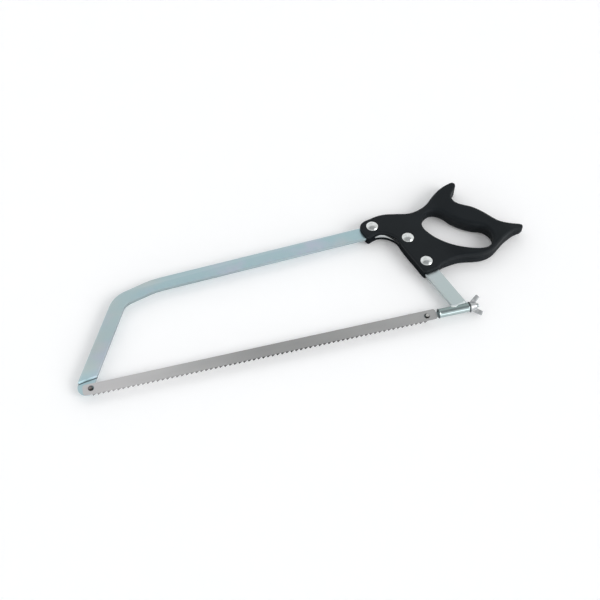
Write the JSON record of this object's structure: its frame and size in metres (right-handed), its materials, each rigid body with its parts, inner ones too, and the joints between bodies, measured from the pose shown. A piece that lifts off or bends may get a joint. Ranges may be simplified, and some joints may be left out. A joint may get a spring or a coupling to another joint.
{
  "type": "butcher saw",
  "caption": "Bow saw for meat and bone: bent flat-steel bow, thin toothed blade on pins, wing-nut blade tensioner, and a closed black pistol grip of bolted scales.",
  "frame": {"origin": "under the middle of the saw's box, on the surface that it lies on", "axes": "+X along the blade from the front pin to the wing nut, +Y from the blade to the bar, +Z square to the saw's plane, out of its front face"},
  "size_m": [0.6434, 0.2214, 0.0227],
  "materials": {
    "zinc_bar": "blue-passivated zinc plate on drawn flat steel, satin",
    "blade_steel": "rolled spring steel, fine lengthwise grain",
    "dark_pin": "blackened turned steel",
    "bright_pin": "plain turned steel",
    "zinc_tube": "zinc-plated drawn tube, glossier than the bar",
    "zinc_spindle": "zinc-plated turned steel with a rolled thread",
    "washer_steel": "dull punched steel",
    "wing_nut_zinc": "zinc-plated casting, softly rounded",
    "black_plastic": "moulded black plastic, fine satin grain",
    "nickel_plate": "polished nickel-plated dome"
  },
  "bodies": {
    "frame": {"bow_frame": "zinc_bar", "front_blade_pin": "dark_pin", "tension_sleeve": "zinc_tube", "nut_washer": "washer_steel", "handle_front_scale": "black_plastic", "handle_back_scale": "black_plastic", "nose_barrel_nut": "nickel_plate", "bend_barrel_nut": "nickel_plate", "heel_barrel_nut": "nickel_plate", "nose_binding_screw": "nickel_plate", "bend_binding_screw": "nickel_plate", "heel_binding_screw": "nickel_plate"},
    "wing_nut": {"wing_nut": "wing_nut_zinc"},
    "spindle": {"tension_spindle": "zinc_spindle", "rear_blade_pin": "bright_pin"},
    "blade": {"blade": "blade_steel"}
  },
  "joints": [
    {"name": "wing_nut_turn", "type": "hinge", "parent": "frame", "child": "wing_nut", "pos_m": [0.20415, -0.09737, 0.01134], "axis": [1, 0, 0], "range_deg": [0, 648]},
    {"name": "spindle_draw", "type": "slide", "parent": "frame", "child": "spindle", "axis": [-1, 0, 0], "range_m": [0, 0.0018]},
    {"name": "blade_lift_off", "type": "slide", "parent": "frame", "child": "blade", "axis": [0, 0, 1], "range_m": [0, 0.012]}
  ],
  "couplings": [
    {"joint": "wing_nut_turn", "follows": "spindle_draw", "rad_per_m": 6283.2}
  ]
}
